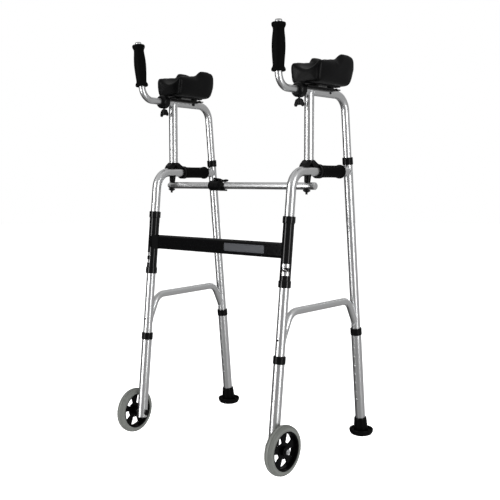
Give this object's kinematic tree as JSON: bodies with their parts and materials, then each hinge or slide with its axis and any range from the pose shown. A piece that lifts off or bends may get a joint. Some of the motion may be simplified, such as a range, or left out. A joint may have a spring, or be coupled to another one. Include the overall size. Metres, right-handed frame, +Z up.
{
  "type": "upright walker",
  "caption": "Folding upright walker with forearm rests, upright handles, front wheels and rubber rear feet.",
  "frame": {"origin": "on the floor, below the middle of the bounding box", "axes": "+X to the walker's right seen from its front, +Y to the rear where the user stands, +Z up"},
  "size_m": [0.5952, 0.4952, 1.115],
  "materials": {
    "tube": "satin",
    "black_paint": "gloss",
    "black_plastic": "satin",
    "foam": "matte",
    "pad": "satin",
    "tyre": "matte",
    "hub": "gloss",
    "foot": "matte",
    "steel": "satin",
    "dark_steel": "satin"
  },
  "bodies": {
    "middle": {"cross_bar": "black_paint", "left_sleeve": "black_paint", "right_sleeve": "black_paint"},
    "left_frame": {"left_front_tube": "tube", "left_rear_tube": "tube", "left_side_brace": "tube", "left_hand_grip": "foam", "left_saddle": "black_plastic", "left_pivot_bolt": "dark_steel", "left_pivot_spacer": "black_plastic", "left_post_collar": "black_plastic", "left_arm_frame": "tube", "left_pad_bracket": "black_paint", "left_arm_pad": "pad", "left_screws": "dark_steel"},
    "left_front_lower": {"left_front_leg": "tube", "left_front_leg_collar": "black_plastic", "left_axle": "steel"},
    "left_wheel": {"left_tyre": "tyre", "left_wheel_hub": "hub"},
    "left_rear_lower": {"left_rear_leg": "tube", "left_rear_leg_collar": "black_plastic", "left_foot": "foot"},
    "left_front_snap": {"left_front_button": "steel"},
    "left_rear_snap": {"left_rear_button": "steel"},
    "left_clamp": {"left_clamp_collar": "black_plastic"},
    "left_wing": {"left_wing_screw": "black_plastic"},
    "left_handle": {"left_handle_tube": "tube", "left_handle_grip": "foam"},
    "right_frame": {"right_front_tube": "tube", "right_rear_tube": "tube", "right_side_brace": "tube", "right_hand_grip": "foam", "right_saddle": "black_plastic", "right_pivot_bolt": "dark_steel", "right_pivot_spacer": "black_plastic", "right_post_collar": "black_plastic", "right_arm_frame": "tube", "right_pad_bracket": "black_paint", "right_arm_pad": "pad", "right_screws": "dark_steel"},
    "right_front_lower": {"right_front_leg": "tube", "right_front_leg_collar": "black_plastic", "right_axle": "steel"},
    "right_wheel": {"right_tyre": "tyre", "right_wheel_hub": "hub"},
    "right_rear_lower": {"right_rear_leg": "tube", "right_rear_leg_collar": "black_plastic", "right_foot": "foot"},
    "right_front_snap": {"right_front_button": "steel"},
    "right_rear_snap": {"right_rear_button": "steel"},
    "right_clamp": {"right_clamp_collar": "black_plastic"},
    "right_wing": {"right_wing_screw": "black_plastic"},
    "right_handle": {"right_handle_tube": "tube", "right_handle_grip": "foam"},
    "left_half_bar": {"left_bar": "tube", "clasp_body": "black_plastic"},
    "clasp": {"clasp_lever": "black_plastic"},
    "right_half_bar": {"right_bar": "tube", "bar_caps": "tube"}
  },
  "joints": [
    {"name": "left_fold", "type": "hinge", "parent": "middle", "child": "left_frame", "pos_m": [-0.24102, -0.13192, 0.55], "axis": [0.0036, -0.1045, -0.9945], "range_deg": [0, 80]},
    {"name": "left_front_height", "type": "slide", "parent": "left_frame", "child": "left_front_lower", "axis": [0.0036, -0.1045, -0.9945], "range_m": [0, 0.156]},
    {"name": "left_rear_height", "type": "slide", "parent": "left_frame", "child": "left_rear_lower", "axis": [-0.0036, 0.1045, -0.9945], "range_m": [0, 0.156]},
    {"name": "left_wheel_spin", "type": "hinge", "parent": "left_front_lower", "child": "left_wheel", "pos_m": [-0.27031, -0.1841, 0.0635], "axis": [-0.9994, -0.0349, 0], "continuous": true},
    {"name": "left_front_press", "type": "slide", "parent": "left_frame", "child": "left_front_snap", "axis": [0.0347, -0.9939, 0.1045], "range_m": [0, 0.0044], "stiffness_N_per_m": 1500, "springref_m": -0.002},
    {"name": "left_rear_press", "type": "slide", "parent": "left_frame", "child": "left_rear_snap", "axis": [-0.0347, 0.9939, 0.1045], "range_m": [0, 0.0044], "stiffness_N_per_m": 1500, "springref_m": -0.002},
    {"name": "left_clamp_swivel", "type": "hinge", "parent": "left_frame", "child": "left_clamp", "pos_m": [-0.24266, -0.08475, 0.956], "axis": [-0.0349, 0.9994, 0], "range_deg": [-40, 40]},
    {"name": "left_wing_turn", "type": "hinge", "parent": "left_clamp", "child": "left_wing", "pos_m": [-0.23995, -0.08466, 0.93014], "axis": [-0.1045, -0.0036, 0.9945], "continuous": true},
    {"name": "left_handle_slide", "type": "slide", "parent": "left_clamp", "child": "left_handle", "axis": [0.0349, -0.9994, 0], "range_m": [-0.02, 0.05]},
    {"name": "right_fold", "type": "hinge", "parent": "middle", "child": "right_frame", "pos_m": [0.24102, -0.13192, 0.55], "axis": [0.0036, 0.1045, 0.9945], "range_deg": [0, 56]},
    {"name": "right_front_height", "type": "slide", "parent": "right_frame", "child": "right_front_lower", "axis": [-0.0036, -0.1045, -0.9945], "range_m": [0, 0.156]},
    {"name": "right_rear_height", "type": "slide", "parent": "right_frame", "child": "right_rear_lower", "axis": [0.0036, 0.1045, -0.9945], "range_m": [0, 0.156]},
    {"name": "right_wheel_spin", "type": "hinge", "parent": "right_front_lower", "child": "right_wheel", "pos_m": [0.27031, -0.1841, 0.0635], "axis": [0.9994, -0.0349, 0], "continuous": true},
    {"name": "right_front_press", "type": "slide", "parent": "right_frame", "child": "right_front_snap", "axis": [-0.0347, -0.9939, 0.1045], "range_m": [0, 0.0044], "stiffness_N_per_m": 1500, "springref_m": -0.002},
    {"name": "right_rear_press", "type": "slide", "parent": "right_frame", "child": "right_rear_snap", "axis": [0.0347, 0.9939, 0.1045], "range_m": [0, 0.0044], "stiffness_N_per_m": 1500, "springref_m": -0.002},
    {"name": "right_clamp_swivel", "type": "hinge", "parent": "right_frame", "child": "right_clamp", "pos_m": [0.24266, -0.08475, 0.956], "axis": [0.0349, 0.9994, 0], "range_deg": [-40, 40]},
    {"name": "right_wing_turn", "type": "hinge", "parent": "right_clamp", "child": "right_wing", "pos_m": [0.24266, -0.08475, 0.93], "axis": [0, 0, 1], "continuous": true},
    {"name": "right_handle_slide", "type": "slide", "parent": "right_clamp", "child": "right_handle", "axis": [-0.0349, -0.9994, 0], "range_m": [-0.02, 0.05]},
    {"name": "left_bar_swing", "type": "hinge", "parent": "left_frame", "child": "left_half_bar", "pos_m": [-0.24385, -0.05077, 0.715], "axis": [-0.0036, 0.1045, 0.9945], "range_deg": [0, 76]},
    {"name": "right_bar_swing", "type": "hinge", "parent": "right_frame", "child": "right_half_bar", "pos_m": [0.24385, -0.05077, 0.715], "axis": [-0.0036, -0.1045, -0.9945], "range_deg": [0, 76]},
    {"name": "clasp_lift", "type": "hinge", "parent": "left_half_bar", "child": "clasp", "pos_m": [-0.067, -0.049, 0.73191], "axis": [0, -0.9945, 0.1045], "range_deg": [0, 20]}
  ],
  "couplings": [
    {"joint": "left_bar_swing", "follows": "left_fold", "ratio": 0.95},
    {"joint": "right_bar_swing", "follows": "left_fold", "ratio": 0.95}
  ]
}
